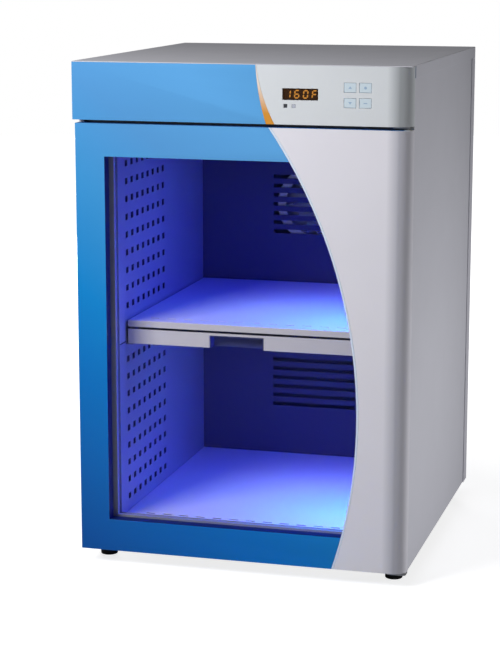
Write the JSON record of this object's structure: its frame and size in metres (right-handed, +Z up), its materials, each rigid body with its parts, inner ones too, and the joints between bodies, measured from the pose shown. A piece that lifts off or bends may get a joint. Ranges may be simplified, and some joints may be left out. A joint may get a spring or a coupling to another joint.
{
  "type": "blanket warming cabinet",
  "caption": "Counter-top blanket warming cabinet with a hinged glazed door, heated air compartments, a middle shelf and a control fascia.",
  "frame": {"origin": "on the surface that the feet stand on, under the middle of the case", "axes": "+X to the cabinet's right seen from the front, +Y to its back, +Z up; the door faces -Y"},
  "size_m": [0.456, 0.5, 0.688],
  "materials": {
    "case_paint": "satin powder coat",
    "zinc_steel": "zinc plated sheet",
    "rubber": "matt",
    "screw_steel": "plated",
    "blue_moulding": "smooth",
    "white_moulding": "smooth",
    "accent_inlay": "smooth",
    "bead": "smooth",
    "display_glass": "tinted window",
    "dark_plastic": "matt",
    "key_plastic": "soft touch",
    "board": "coated board",
    "liner_steel": "satin stainless sheet",
    "insulation": "glass wool",
    "light_lens": "diffusing",
    "motor_metal": "cast and turned",
    "heater_steel": "heat tinted sheath",
    "bush_plastic": "moulded acetal",
    "window_glass": "clear"
  },
  "bodies": {
    "cabinet": {"side_panel_left": "case_paint", "side_panel_right": "case_paint", "top_cover": "case_paint", "rear_cover": "case_paint", "base_pan": "zinc_steel", "face_frame": "zinc_steel", "service_tray": "zinc_steel", "hinge_brackets": "zinc_steel", "shelf_ledges": "zinc_steel", "rubber_feet": "rubber", "rear_screws": "screw_steel", "hinge_screws": "screw_steel", "hinge_pins": "screw_steel", "fascia_shell": "blue_moulding", "fascia_overlay": "white_moulding", "fascia_stripe": "accent_inlay", "display_window": "display_glass", "display_module": "dark_plastic", "indicator_lenses": "dark_plastic", "key_switches": "dark_plastic", "shelf_pull": "dark_plastic", "light_housings": "dark_plastic", "limit_thermostat": "dark_plastic", "terminal_block": "dark_plastic", "power_inlet": "dark_plastic", "catch_magnets": "dark_plastic", "control_board": "board", "upper_side_walls": "liner_steel", "lower_side_walls": "liner_steel", "chamber_back_wall": "liner_steel", "chamber_ceiling": "liner_steel", "floor_tray": "liner_steel", "shelf_tray": "liner_steel", "shelf_pan": "liner_steel", "duct_liner": "liner_steel", "side_insulation": "insulation", "rear_insulation": "insulation", "top_insulation": "insulation", "base_insulation": "insulation", "light_lenses": "light_lens", "fan_motor": "motor_metal", "power_supply": "motor_metal", "temperature_probe": "motor_metal", "ring_heater": "heater_steel"},
    "door": {"door_shell": "blue_moulding", "door_swoosh": "white_moulding", "swoosh_trim": "bead", "outer_glass": "window_glass", "glazing_spacer": "dark_plastic", "inner_glass": "window_glass", "door_inner_frame": "liner_steel", "door_gasket": "rubber", "catch_strikes": "screw_steel", "hinge_bushes": "bush_plastic"},
    "fan": {"fan_impeller": "motor_metal", "fan_shaft": "screw_steel"},
    "key_upper_left_body": {"key_upper_left": "key_plastic"},
    "key_upper_right_body": {"key_upper_right": "key_plastic"},
    "key_lower_left_body": {"key_lower_left": "key_plastic"},
    "key_lower_right_body": {"key_lower_right": "key_plastic"}
  },
  "joints": [
    {"name": "door_hinge", "type": "hinge", "parent": "cabinet", "child": "door", "pos_m": [0.221, -0.236, 0.31], "axis": [0, 0, 1], "range_deg": [0, 110]},
    {"name": "fan_spin", "type": "hinge", "parent": "cabinet", "child": "fan", "pos_m": [0, 0.2, 0.45], "axis": [0, 1, 0], "continuous": true},
    {"name": "key_upper_left_press", "type": "slide", "parent": "cabinet", "child": "key_upper_left_body", "axis": [0, 1, 0], "range_m": [0, 0.0006], "stiffness_N_per_m": 800, "springref_m": -0.0003},
    {"name": "key_upper_right_press", "type": "slide", "parent": "cabinet", "child": "key_upper_right_body", "axis": [0, 1, 0], "range_m": [0, 0.0006], "stiffness_N_per_m": 800, "springref_m": -0.0003},
    {"name": "key_lower_left_press", "type": "slide", "parent": "cabinet", "child": "key_lower_left_body", "axis": [0, 1, 0], "range_m": [0, 0.0006], "stiffness_N_per_m": 800, "springref_m": -0.0003},
    {"name": "key_lower_right_press", "type": "slide", "parent": "cabinet", "child": "key_lower_right_body", "axis": [0, 1, 0], "range_m": [0, 0.0006], "stiffness_N_per_m": 800, "springref_m": -0.0003}
  ]
}
